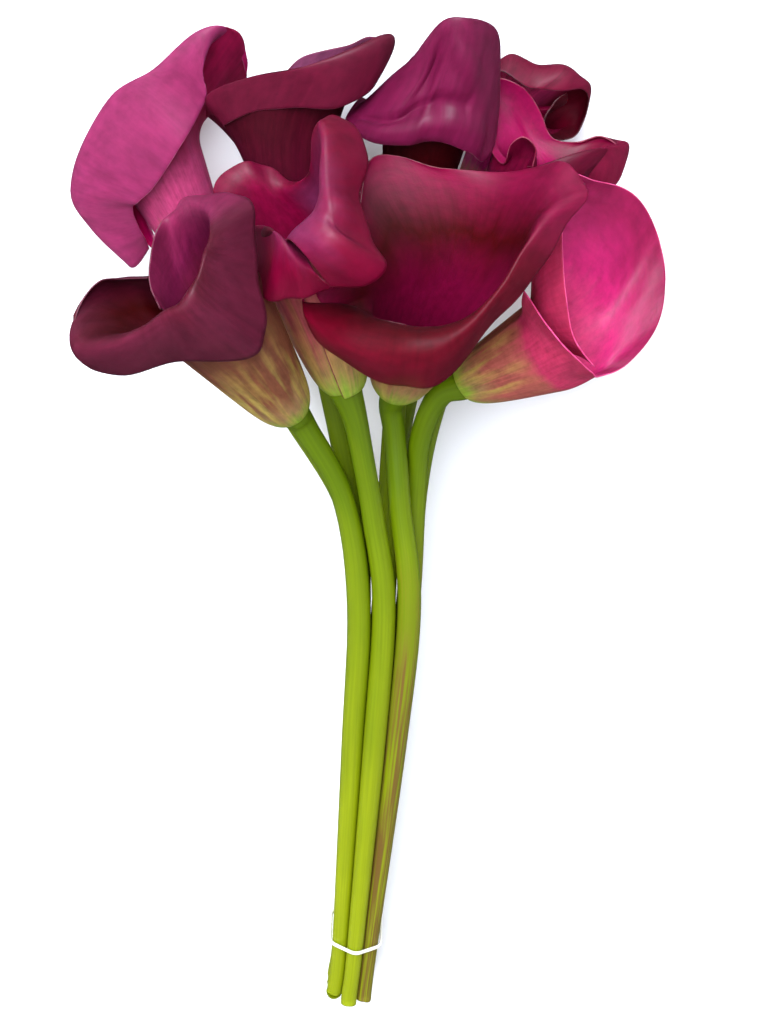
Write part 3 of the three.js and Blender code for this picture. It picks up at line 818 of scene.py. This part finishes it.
def spathe_flesh(bloom, side, wall_stops, roll_stops, settings):
    """Petal-like leaf of a calla: waxy and smooth, with fine veins running up from its base."""
    contrast = VEIN_CONTRAST[side]
    streaks = bloom.get("streaked", 0) if side == "outside" else 0
    material, tree = new_material(f"spathe_flesh_{bloom['name']}_{side}")
    lie = node(tree, "Attribute", attribute_name="lie").outputs["Vector"]
    where = node(tree, "Attribute", attribute_name="where").outputs["Vector"]
    place, share, _ = node(tree, "SeparateXYZ", {"Vector": where}).outputs
    # Veins as far apart as the settings say, drawn out to about 40 mm along the sheet
    spread = (MM / settings.vein_spacing, 1 / 40, 1)
    fine = node(tree, "VectorMath", {0: lie, 1: spread}, operation="MULTIPLY")
    veins = node(
        tree,
        "TexNoise",
        {"Vector": fine.outputs[0], "Scale": 1.0, "Detail": 3.0, "Roughness": 0.6},
    )
    # Broad bands of deeper and paler flesh, about 14 mm wide and 60 mm long
    broad = node(tree, "VectorMath", {0: lie, 1: (1 / 14, 1 / 60, 1)}, operation="MULTIPLY")
    bands = node(tree, "TexNoise", {"Vector": broad.outputs[0], "Scale": 1.0, "Detail": 2.0})
    # Clouds of colour about 5 mm across, where the flesh is thicker or thinner
    clouds = node(tree, "TexNoise", {"Vector": lie, "Scale": 1 / 5, "Detail": 5.0, "Roughness": 0.65})
    # The colours change up the sheet along an uneven line that follows bands and veins
    shift = node(tree, "Math", {0: bands.outputs["Fac"], 1: 0.22, 2: -0.11}, operation="MULTIPLY_ADD")
    feather = node(tree, "Math", {0: veins.outputs["Fac"], 1: 0.12, 2: -0.06}, operation="MULTIPLY_ADD")
    moved = node(tree, "Math", {0: shift.outputs[0], 1: feather.outputs[0]}, operation="ADD")
    half = node(tree, "Math", {0: place, 1: 0.5, 2: moved.outputs[0]}, operation="MULTIPLY_ADD")
    # Both ramps start at the throat colour, partly painted shade deep in the mouth; the roll ramp also
    # passes a painted sheen on the crest
    wall = node(tree, "ValToRGB", {"Fac": half.outputs[0]}, stops=wall_stops)
    roll = node(tree, "ValToRGB", {"Fac": half.outputs[0]}, stops=roll_stops)
    # The wall passes into the rolled parts on either side over a twelfth of the way round
    middle = sum(bloom["wall"]) / 2
    half_span = (bloom["wall"][1] - bloom["wall"][0]) / 2
    beside = node(tree, "Math", {0: share, 1: middle}, operation="SUBTRACT")
    away = node(tree, "Math", {0: beside.outputs[0]}, operation="ABSOLUTE")
    across = node(
        tree,
        "MapRange",
        {"Value": away.outputs[0], "From Min": half_span - 0.04, "From Max": half_span + 0.04},
        interpolation_type="SMOOTHSTEP",
    )
    flesh = node(
        tree,
        "Mix",
        {0: across.outputs[0], 6: wall.outputs["Color"], 7: roll.outputs["Color"]},
        data_type="RGBA",
    )
    # Yellowish streaks about 10 mm wide run up the lower tube
    long = node(tree, "VectorMath", {0: lie, 1: (1 / 10, 1 / 50, 1)}, operation="MULTIPLY")
    streak = node(tree, "TexNoise", {"Vector": long.outputs[0], "Scale": 1.0, "Detail": 4.0})
    core = node(
        tree,
        "MapRange",
        {"Value": streak.outputs["Fac"], "From Min": 0.47, "From Max": 0.62},
    )
    low = node(
        tree,
        "MapRange",
        {"Value": place, "From Min": 1.1, "From Max": 0.5, "To Max": streaks},
    )
    mask = node(tree, "Math", {0: core.outputs[0], 1: low.outputs[0]}, operation="MULTIPLY")
    streaked = node(
        tree,
        "Mix",
        {0: mask.outputs[0], 6: flesh.outputs[2], 7: (*settings.streak, 1.0)},
        data_type="RGBA",
    )
    # Veins and clouds are a little darker or paler than the flesh round them, veins most outside
    veined = node(
        tree,
        "Math",
        {0: veins.outputs["Fac"], 1: contrast, 2: 0.5 - contrast / 2},
        operation="MULTIPLY_ADD",
    )
    depth = node(
        tree,
        "Math",
        {0: clouds.outputs["Fac"], 1: 1.0, 2: veined.outputs[0]},
        operation="MULTIPLY_ADD",
    )
    # Surface cells are under 0.1 mm across; they are drawn at 0.7 mm so the gloss breaks up
    cells = node(tree, "TexNoise", {"Vector": lie, "Scale": 1 / 0.7, "Detail": 2.0})
    relief = None
    for pattern, strength, height in ((veins, 0.2, 0.3), (clouds, 0.25, 0.5), (cells, 0.2, 0.06)):
        inputs = {"Height": pattern.outputs["Fac"], "Strength": strength, "Distance": height * MM}
        if relief:
            inputs["Normal"] = relief.outputs[0]
        relief = node(tree, "Bump", inputs)
    gloss = node(tree, "Math", {0: bands.outputs["Fac"], 1: 0.2, 2: 0.39}, operation="MULTIPLY_ADD")
    finish_surface(
        tree,
        shaded(tree, streaked.outputs[2], depth),
        relief.outputs[0],
        {
            "Roughness": gloss.outputs[0],
            "Specular IOR Level": 0.25,
            "Subsurface Weight": bloom["glow"],
            "Subsurface Radius": (1.0, 0.3, 0.5),
            "Subsurface Scale": 1.2 * MM,
        },
    )
    return material


def spathe_rim(name, hue):
    """Cut-thin margin of the spathe, painted paler: painted glow, as light comes through its single
    cell layers, and a painted highlight where its edge catches the light.
    """
    material, tree = new_material(name)
    lie = node(tree, "Attribute", attribute_name="lie").outputs["Vector"]
    # Patches about 3 mm across where the painted glow and highlight are stronger
    patches = node(tree, "TexNoise", {"Vector": lie, "Scale": 1 / 3, "Detail": 3.0})
    # Painted glow and highlight of the edge: the rim colour made paler
    paler = tuple(min(1.0, 1.5 * c + 0.05) for c in hue)
    stops = [(0.35, hue), (0.65, paler)]
    base, normal = two_tone(tree, patches.outputs["Fac"], stops, strength=0.2, height=0.1)
    finish_surface(
        tree,
        base,
        normal,
        {
            "Roughness": 0.5,
            "Subsurface Weight": 0.4,
            "Subsurface Radius": (1.0, 0.4, 0.5),
            "Subsurface Scale": MM,
        },
    )
    return material


def stem_skin(bloom, settings):
    """Smooth calla stem: waxy green skin with fine lengthwise fibres, browner where it ages."""
    material, tree = new_material(f"stem_skin_{bloom['name']}")
    low, high = tuple(settings.low), tuple(settings.high)
    bruised = bloom.get("bruised", 0.0)
    lie = node(tree, "Attribute", attribute_name="lie").outputs["Vector"]
    split = node(tree, "SeparateXYZ", {"Vector": lie})
    # Fibres about 0.8 mm apart, drawn out to about 50 mm
    thin = node(tree, "VectorMath", {0: lie, 1: (1 / 0.8, 1 / 50, 0)}, operation="MULTIPLY")
    fibres = node(tree, "TexNoise", {"Vector": thin.outputs[0], "Scale": 1.0, "Detail": 3.0})
    # Patches about 8 mm wide and 45 mm long
    wide = node(tree, "VectorMath", {0: lie, 1: (1 / 8, 1 / 45, 0)}, operation="MULTIPLY")
    patches = node(tree, "TexNoise", {"Vector": wide.outputs[0], "Scale": 1.0, "Detail": 2.0})
    wander = node(tree, "Math", {0: patches.outputs["Fac"], 1: 0.4, 2: -0.2}, operation="MULTIPLY_ADD")
    up = node(tree, "Math", {0: split.outputs[2], 1: wander.outputs[0]}, operation="ADD")
    green = node(tree, "ValToRGB", {"Fac": up.outputs[0]}, stops=[(0.2, low), (0.92, high)])
    # Brown streaks come in from about a third of the way down towards the cut end
    lower = node(
        tree,
        "MapRange",
        {"Value": up.outputs[0], "From Min": 0.75, "From Max": 0.5, "To Max": bruised},
    )
    streaky = node(tree, "Math", {0: fibres.outputs["Fac"], 1: 4.5, 2: -1.5}, operation="MULTIPLY_ADD")
    mask = node(
        tree,
        "Math",
        {0: lower.outputs[0], 1: streaky.outputs[0]},
        operation="MULTIPLY",
        use_clamp=True,
    )
    skin = node(
        tree,
        "Mix",
        {0: mask.outputs[0], 6: green.outputs["Color"], 7: (*settings.bruise, 1.0)},
        data_type="RGBA",
    )
    depth = node(
        tree, "Math", {0: fibres.outputs["Fac"], 1: 0.5, 2: 0.75}, operation="MULTIPLY_ADD"
    )
    relief = node(
        tree, "Bump", {"Height": fibres.outputs["Fac"], "Strength": 0.25, "Distance": 0.15 * MM}
    )
    finish_surface(
        tree,
        shaded(tree, skin.outputs[2], depth),
        relief.outputs[0],
        {
            "Roughness": 0.42,
            "IOR": 1.42,
            "Subsurface Weight": 0.15,
            "Subsurface Radius": (0.7, 1.0, 0.2),
            "Subsurface Scale": MM,
        },
    )
    return material


def cut_stem(hue, pith):
    """Freshly cut stem end: wet, pale and spongy, with a darker ring of skin round it."""
    material, tree = new_material("cut_stem_pith")
    place = node(tree, "TexCoord").outputs["Object"]
    # Air cells about 0.6 mm across
    cells = node(tree, "TexVoronoi", {"Vector": place, "Scale": 1 / (0.6 * MM)})
    stops = [(0.1, hue), (0.6, pith)]
    base, normal = two_tone(tree, cells.outputs["Distance"], stops, strength=0.4, height=0.1)
    finish_surface(tree, base, normal, {"Roughness": 0.35})
    return material


def spadix_florets(hue, pollen):
    """Club of tiny packed florets: matt, grainy and dusted with pollen."""
    material, tree = new_material("spadix_florets")
    place = node(tree, "TexCoord").outputs["Object"]
    # Florets about 0.9 mm across
    florets = node(tree, "TexVoronoi", {"Vector": place, "Scale": 1 / (0.9 * MM)})
    stops = [(0.1, pollen), (0.7, hue)]
    base, normal = two_tone(
        tree, florets.outputs["Distance"], stops, strength=0.7, height=0.3, invert=True
    )
    finish_surface(tree, base, normal, {"Roughness": 0.8})
    return material


def natural_rubber(hue, dusted):
    """Thin moulded rubber band: off-white, softly matt, a little dusted with talc."""
    material, tree = new_material("natural_rubber")
    place = node(tree, "TexCoord").outputs["Object"]
    # Talc lies in patches about 1.5 mm across
    dust = node(tree, "TexNoise", {"Vector": place, "Scale": 1 / (1.5 * MM), "Detail": 3.0})
    stops = [(0.35, hue), (0.65, dusted)]
    base, normal = two_tone(tree, dust.outputs["Fac"], stops, strength=0.2, height=0.05)
    finish_surface(tree, base, normal, {"Roughness": 0.6})
    return material


def matt_paper(hue):
    """Seamless studio paper: plain and matt, so it shows nothing but a soft shadow."""
    material, tree = new_material("matt_paper")
    place = node(tree, "TexCoord").outputs["Object"]
    # Clumps of fibre about 2 mm across
    fibre = node(tree, "TexNoise", {"Vector": place, "Scale": 1 / (2 * MM), "Detail": 2.0})
    relief = node(
        tree, "Bump", {"Height": fibre.outputs["Fac"], "Strength": 0.05, "Distance": 0.05 * MM}
    )
    finish_surface(tree, (*hue, 1.0), relief.outputs[0], {"Roughness": 0.95})
    return material


# Settings


class CallaStageSettings(bpy.types.PropertyGroup):
    """Floor and studio light"""

    floor: colour("Floor", "#fbfbfc", "Colour of the paper the bunch lies on")
    sky: colour("Sky", "#f3f6ff", "Colour of the light that comes from everywhere")
    sky_strength: FloatProperty(
        name="Sky strength",
        description="Strength of the light from everywhere",
        default=0.9,
        min=0,
    )
    key_power: FloatProperty(
        name="Window power",
        description="Power of the large window above the blooms",
        default=22,
        unit="POWER",
    )
    key_colour: colour("Window colour", "#eef4ff", "Colour of the large window")
    fill_power: FloatProperty(
        name="Fill power",
        description="Power of the warm fill from the side of the cut ends",
        default=1.5,
        unit="POWER",
    )
    fill_colour: colour("Fill colour", "#fff0e4", "Colour of the fill light")
    sheen_power: FloatProperty(
        name="Sheen power",
        description="Power of the light that shines on the folds",
        default=13,
        unit="POWER",
    )


class CallaSpatheSettings(bpy.types.PropertyGroup):
    """Spathes"""

    thickness: FloatProperty(
        name="Thickness",
        description="Thickness of the sheet in the tube",
        default=SHEET * MM,
        unit="LENGTH",
    )
    rim_thickness: FloatProperty(
        name="Rim thickness",
        description="Thickness of the sheet at its rim",
        default=0.5 * MM,
        unit="LENGTH",
    )
    unevenness: FloatProperty(
        name="Unevenness",
        description="Depth of the gentle hollows and swells of the lip",
        default=0.4 * MM,
        unit="LENGTH",
    )
    rim_wave: FloatProperty(
        name="Rim wave",
        description="Depth of the wave along the rim",
        default=0.6 * MM,
        unit="LENGTH",
    )
    green: colour("Tube base", "#7f9a2a", "Outside of the tube where it joins the stem")
    brown: colour("Tube foot", "#8a6a42", "Outside of the tube just over its base")
    streak: colour("Streaks", "#a39040", "Yellowish streaks up the outside of the tube")
    vein_spacing: FloatProperty(
        name="Vein spacing",
        description="Distance between veins on the open lip",
        default=2.2 * MM,
        unit="LENGTH",
    )


class CallaFleshColours(bpy.types.PropertyGroup):
    """Flesh colours of the blooms"""

    __annotations__ = {
        f"{bloom['name']}_{part}": colour(
            f"{bloom['name']} {part}".replace("_", " ").capitalize(),
            hue,
            f"Flesh of this bloom: {part}",
        )
        for bloom in BLOOMS
        for part, hue in zip(FLESH_PARTS, bloom["flesh"])
    }


class CallaStemSettings(bpy.types.PropertyGroup):
    """Stems"""

    low: colour("Lower skin", "#8b9707", "Skin near the cut end")
    high: colour("Upper skin", "#566d02", "Skin under the bloom")
    bruise: colour("Aged skin", "#6a5022", "Skin where an older stem turns brown")
    skin: colour("Cut ring", "#8ea63a", "Edge of the cells on the cut")
    pith: colour("Cut pith", "#d8de9a", "Inside of the stem on the cut")
    bevel: FloatProperty(
        name="Cut edge",
        description="Rounding of the edge of the cut",
        default=0.4 * MM,
        unit="LENGTH",
    )


class CallaSpadixSettings(bpy.types.PropertyGroup):
    """Spadices"""

    florets: colour("Florets", "#5c4424", "Gaps between the florets")
    pollen: colour("Pollen", "#b89a4c", "Tops of the florets")


class CallaBandSettings(bpy.types.PropertyGroup):
    """Rubber band"""

    rubber: colour("Rubber", "#e4e2cc", "Rubber of the band")
    dust: colour("Dusted rubber", "#f4f2e6", "Rubber where talc is left on it")


# Operators


class CallaStage(bpy.types.Operator):
    """Camera of the photograph, pale floor and soft daylight"""

    bl_idname = "calla.stage"
    bl_label = "Stage"

    def execute(self, context):
        settings = context.scene.calla_stage
        camera_data = bpy.data.cameras.new("photograph")
        camera_data.sensor_width = SENSOR_MM
        camera_data.lens = FOCAL_PX / IMAGE_HEIGHT_PX * SENSOR_MM
        camera_data.clip_start = 0.01
        camera = bpy.data.objects.new("photograph", camera_data)
        camera.location = Vector((CAMERA_MM - MIDDLE) * MM)
        camera.rotation_euler = (-math.radians(CAMERA_TILT), 0, 0)
        context.scene.collection.objects.link(camera)
        context.scene.camera = camera
        context.scene.view_settings.view_transform = "Standard"

        signs = [(-1, -1), (1, -1), (1, 1), (-1, 1)]
        corners = [(x * FLOOR_REACH, y * FLOOR_REACH, -FLOOR_DROP) for x, y in signs]
        mesh = bpy.data.meshes.new("floor")
        mesh.from_pydata(corners, [], [(0, 1, 2, 3)])
        mesh.materials.append(matt_paper(tuple(settings.floor)))
        floor = bpy.data.objects.new("floor", mesh)
        context.scene.collection.objects.link(floor)
        # The bright paper would veil the gloss of every petal seen at a slant
        floor.visible_glossy = False

        world = bpy.data.worlds.new("soft_daylight")
        world.use_nodes = True
        background = world.node_tree.nodes["Background"]
        background.inputs["Color"].default_value = (*settings.sky, 1.0)
        background.inputs["Strength"].default_value = settings.sky_strength
        # The room behind the camera is dark, so only the window shows in the gloss
        world.cycles_visibility.glossy = False
        context.scene.world = world

        lights = [
            ("window", WINDOW_PLACE, WINDOW_SIZE, settings.key_power, settings.key_colour),
            ("fill", FILL_PLACE, FILL_SIZE, settings.fill_power, settings.fill_colour),
            ("sheen", SHEEN_PLACE, SHEEN_SIZE, settings.sheen_power, settings.key_colour),
        ]
        for name, place, size, power, hue in lights:
            data = bpy.data.lights.new(name, "AREA")
            data.shape = "DISK"
            data.size = size
            data.energy = power
            data.color = hue
            light = bpy.data.objects.new(name, data)
            light.location = place
            toward = Vector(LIGHTS_AIM) - light.location
            light.rotation_euler = toward.to_track_quat("-Z", "Y").to_euler()
            # One soft light only draws the sheen on the folds, the others only light the flesh
            light.visible_glossy = name == "sheen"
            light.visible_diffuse = name != "sheen"
            context.scene.collection.objects.link(light)
        return {"FINISHED"}


class CallaSpathes(bpy.types.Operator):
    """Nine spathes, each a sheet rolled into a tube and opening into a lip"""

    bl_idname = "calla.spathes"
    bl_label = "Spathes"

    def execute(self, context):
        settings = context.scene.calla_spathe
        colours = context.scene.calla_flesh
        tube_places = np.linspace(0, 1, TUBE_SPANS, endpoint=False) ** NECK_CROWDING
        places = np.concatenate([tube_places, np.linspace(1, 2, LIP_SPANS + 1)])
        thin = np.clip(places - 1, 0, 1) ** 2
        thickness = (settings.thickness * (1 - thin) + settings.rim_thickness * thin) / MM
        for number, bloom in enumerate(BLOOMS):
            name = bloom["name"]
            points, turns, angle = spathe_points(bloom, places)
            normal = unit(np.cross(np.gradient(points, axis=0), np.gradient(points, axis=1)))
            calm = bloom.get("calm", 1.0) / MM
            depths = settings.unevenness * calm, settings.rim_wave * calm
            rise = ripples(angle, places, points, number, *depths)
            rise = rise + crease_depth(turns, places, bloom.get("creases", ()))
            points = points + normal * rise[..., None]

            arc = turns[:, None] * LIP_ARC
            run = places[None, :] * PLACE_LENGTH
            share = (turns / turns[-1])[:, None]
            flat = np.zeros((1, 1))
            lie = np.stack(np.broadcast_arrays(arc, run, flat + FLESH_STEP * number), -1)
            where = np.stack(np.broadcast_arrays(places[None, :], share, flat), -1)

            throat, wall, brow, roll, rim, tube, back = (
                tuple(getattr(colours, f"{name}_{part}")) for part in FLESH_PARTS
            )
            # The throat stops are partly painted shade deep in the mouth; the roll stop is partly a
            # painted sheen on the crest of the rolled lip
            wall_stops = [(0.48, throat), (0.68, wall), (0.92, brow)]
            roll_stops = [(0.48, throat), (0.68, roll), (0.92, rim)]
            outer_stops = [(0.02, tuple(settings.green)), (0.12, tuple(settings.brown))]
            outer_stops += [(0.26, tube), (0.46, tube), (0.6, back)]
            finishes = [
                spathe_flesh(bloom, "inside", wall_stops, roll_stops, settings),
                spathe_flesh(bloom, "outside", outer_stops, outer_stops, settings),
                spathe_rim(f"spathe_lit_margin_{name}", rim),
            ]
            piece = sheet_object(f"spathe_{name}_flesh", points, thickness, lie, where, finishes)
            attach(piece, "root")
            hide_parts(f"spathe_{name}")
        return {"FINISHED"}


class CallaStems(bpy.types.Operator):
    """Nine stems from their cut ends through the tie to their blooms"""

    bl_idname = "calla.stems"
    bl_label = "Stems"

    def execute(self, context):
        settings = context.scene.calla_stem
        pith = cut_stem(tuple(settings.skin), tuple(settings.pith))
        bevel = settings.bevel / MM
        sides = np.arange(STEM_SIDES)
        # The skin's pattern runs up one half of the stem and mirrored down the other
        skin_arc = np.minimum(sides, STEM_SIDES - sides) / STEM_SIDES * 2 * np.pi * BEND_RADIUS
        for number, bloom in enumerate(BLOOMS):
            name = bloom["name"]
            along = axes_of(bloom)[1]
            table = stem_stops(bloom, CUT_BACK[number])
            u = np.linspace(0, 1, STEM_RINGS + 1)
            centres, ahead, behind = (
                np.stack([smooth(values, u + step) for values in table[:3]], -1)
                for step in (0, HEADING_STEP, -HEADING_STEP)
            )
            radii = smooth(table[3], u)
            headings = unit(ahead - behind)
            headings[0] = unit(np.array([CUT_SLANTS[number], 1, CUT_DIP]))
            headings[-1] = along

            # Centre and edge of the cut, its bevel, and the top inside the spathe
            end = centres[0] + np.array([[0, 0, 0], [0, 0, 0], [0, bevel, 0]], float)
            end_radii = [radii[0] * CUT_CENTRE, radii[0] - bevel, radii[0]]
            top = np.array(bloom["base"]) + np.array([[height] for height, _ in STEM_TOP]) * along
            centres = np.concatenate([end, centres[1:], top])
            radii = np.concatenate([end_radii, radii[1:], [radius for _, radius in STEM_TOP]])
            headings = np.concatenate([[headings[0]] * 3, headings[1:], [along] * 3])
            rings = rings_along(centres, headings, radii, STEM_SIDES)

            walked = np.cumsum(np.linalg.norm(np.diff(centres, axis=0), axis=1))
            run = np.concatenate([[0], walked])[:, None]
            arc = skin_arc[None, :] + SKIN_STEP * number
            lie = np.stack(np.broadcast_arrays(arc, run, run / run[-1]), -1)
            finishes = [stem_skin(bloom, settings), pith]
            piece = tube_object(f"stem_{name}_skin", rings, lie, finishes, cut_spans=1)
            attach(piece, "root")
            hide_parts(f"stem_{name}")
        return {"FINISHED"}


class CallaSpadices(bpy.types.Operator):
    """Nine spadices, deep in the tubes of the spathes"""

    bl_idname = "calla.spadices"
    bl_label = "Spadices"

    def execute(self, context):
        settings = context.scene.calla_spadix
        finish = spadix_florets(tuple(settings.florets), tuple(settings.pollen))
        stop_radii, stop_heights = np.array(SPADIX, float).T
        height = np.linspace(0, stop_heights[-1], SPADIX_RINGS)[:, None]
        profile = np.maximum(np.interp(height, stop_heights, stop_radii), SPADIX_TIP_RADIUS)
        sides = np.arange(SPADIX_SIDES) / SPADIX_SIDES * 2 * np.pi
        wind = FLORET_WIND * np.arange(SPADIX_RINGS)[:, None]
        swell = np.cos(height * 2 * np.pi / FLORET_ROW) * np.cos(FLORETS_ROUND * sides + wind)
        radius = profile * (1 + FLORET_DEPTH * swell)
        for bloom in BLOOMS:
            base, along, front, right = axes_of(bloom)
            foot = base + (SPIGOT_HEIGHT + SPADIX_GAP) * along
            spoke = np.cos(sides)[:, None] * right + np.sin(sides)[:, None] * front
            rings = foot + height[..., None] * along + radius[..., None] * spoke
            rings = rings[:, ::-1]
            lie = np.zeros_like(rings)
            piece = tube_object(f"spadix_{bloom['name']}_florets", rings, lie, [finish])
            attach(piece, "root")
            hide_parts(f"spadix_{bloom['name']}")
        return {"FINISHED"}


class CallaBand(bpy.types.Operator):
    """Rubber band that ties the stems near their cut ends"""

    bl_idname = "calla.band"
    bl_label = "Rubber band"

    def execute(self, context):
        settings = context.scene.calla_band
        finish = natural_rubber(tuple(settings.rubber), tuple(settings.dust))
        pitch = BUNDLE[TIE][3]
        axis = unit(np.subtract(BUNDLE[TIE + 1][:3], BUNDLE[TIE - 1][:3]))
        right = np.array([1.0, 0.0, 0.0])
        right = unit(right - axis * axis[0])
        above = np.cross(right, axis)
        centre = np.array(BUNDLE[TIE][:3]) + BAND_LIFT * axis
        corner_radius = (pitch - STEM_GAP) / 2 + BAND_GAP + BAND_RADIUS
        turn = (np.arange(BAND_SIDES) / BAND_SIDES * 2 * np.pi)[:, None]
        deep = BAND_DEPTH * BAND_RADIUS * np.cos(turn)
        wide = BAND_WIDTH * BAND_RADIUS * np.sin(turn) * axis
        rings = []
        # Stems that the band bends round: place in pitches, and the directions it turns between
        side, top = NEST_WIDTH, 1 + NEST_RISE
        corners = [
            (side, 1, 0, 60),
            (0, top, 60, 120),
            (-side, 1, 120, 180),
            (-side, -1, 180, 270),
            (side, -1, 270, 360),
        ]
        for cx, cz, start, end in corners:
            for angle in np.radians(np.linspace(start, end, BAND_CORNER_STEPS + 1)):
                outward = math.cos(angle) * right + math.sin(angle) * above
                middle = centre + cx * pitch * right + cz * pitch * above
                rings.append(middle + corner_radius * outward + deep * outward + wide)
        rings = np.array(rings)
        piece = tube_object("rubber_band_cord", rings, np.zeros_like(rings), [finish], joined=True)
        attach(piece, "root")
        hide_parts("rubber_band")
        return {"FINISHED"}


class CallaPanel(bpy.types.Panel):
    """Lists the pieces of the bunch and their settings"""

    bl_idname = "CALLA_PT_bunch"
    bl_label = "Calla lilies"
    bl_space_type = "VIEW_3D"
    bl_region_type = "UI"
    bl_category = "Calla lilies"

    def draw(self, context):
        layout = self.layout
        for operator, group in OPERATORS:
            box = layout.box()
            box.operator(operator.bl_idname)
            for setting in GROUPS[group].__annotations__:
                box.prop(getattr(context.scene, group), setting)


GROUPS = {
    "calla_stage": CallaStageSettings,
    "calla_spathe": CallaSpatheSettings,
    "calla_flesh": CallaFleshColours,
    "calla_stem": CallaStemSettings,
    "calla_spadix": CallaSpadixSettings,
    "calla_band": CallaBandSettings,
}
OPERATORS = [
    (CallaStage, "calla_stage"),
    (CallaSpathes, "calla_spathe"),
    (CallaStems, "calla_stem"),
    (CallaSpadices, "calla_spadix"),
    (CallaBand, "calla_band"),
]


def register():
    """Adds the settings, the operators and the panel to Blender."""
    for name, group in GROUPS.items():
        bpy.utils.register_class(group)
        setattr(bpy.types.Scene, name, PointerProperty(type=group))
    for operator, _ in OPERATORS:
        bpy.utils.register_class(operator)
    bpy.utils.register_class(CallaPanel)


def unregister():
    """Takes the panel, the operators and the settings out of Blender."""
    bpy.utils.unregister_class(CallaPanel)
    for operator, _ in OPERATORS:
        bpy.utils.unregister_class(operator)
    for name, group in GROUPS.items():
        delattr(bpy.types.Scene, name)
        bpy.utils.unregister_class(group)


def main():
    """Builds the stage and every piece."""
    register()
    bpy.ops.calla.stage()
    bpy.ops.calla.spathes()
    bpy.ops.calla.stems()
    bpy.ops.calla.spadices()
    bpy.ops.calla.band()


if __name__ == "__main__":
    main()
